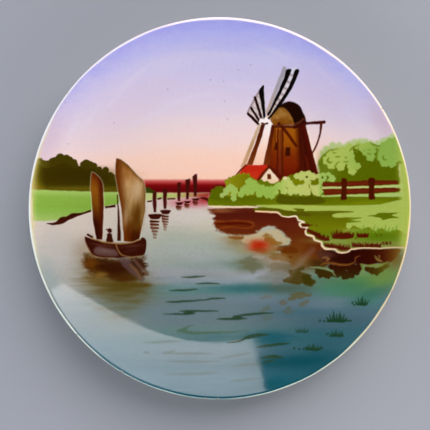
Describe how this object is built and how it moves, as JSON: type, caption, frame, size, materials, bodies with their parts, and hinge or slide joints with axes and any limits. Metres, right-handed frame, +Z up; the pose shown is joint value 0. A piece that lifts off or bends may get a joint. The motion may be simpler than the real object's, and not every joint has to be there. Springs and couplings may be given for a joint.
{
  "type": "souvenir plate",
  "caption": "Round coupe souvenir plate with a painted, glazed face, a pierced foot ring behind and a swinging wire hanger.",
  "frame": {"origin": "centre of the standing edge's plane, under the middle of the plate", "axes": "+Z up the plate's axis, out of the painted face; +Y towards the top of the picture; +X towards its right"},
  "size_m": [0.25, 0.25, 0.027],
  "materials": {
    "biscuit": "dry, unglazed fired clay",
    "painted_glaze": "glossy, hand painted",
    "cream_glaze": "glossy",
    "brass_wire": "dull, tarnished"
  },
  "bodies": {
    "plate": {"earthenware_body": "biscuit", "face_glaze": "painted_glaze", "back_glaze": "cream_glaze", "foot_recess_glaze": "cream_glaze"},
    "hanger": {"hanging_wire": "brass_wire"}
  },
  "joints": [
    {"name": "wire_swing", "type": "hinge", "parent": "plate", "child": "hanger", "pos_m": [0, 0.061, 0.003], "axis": [-1, 0, 0], "range_deg": [-10, 118]}
  ]
}
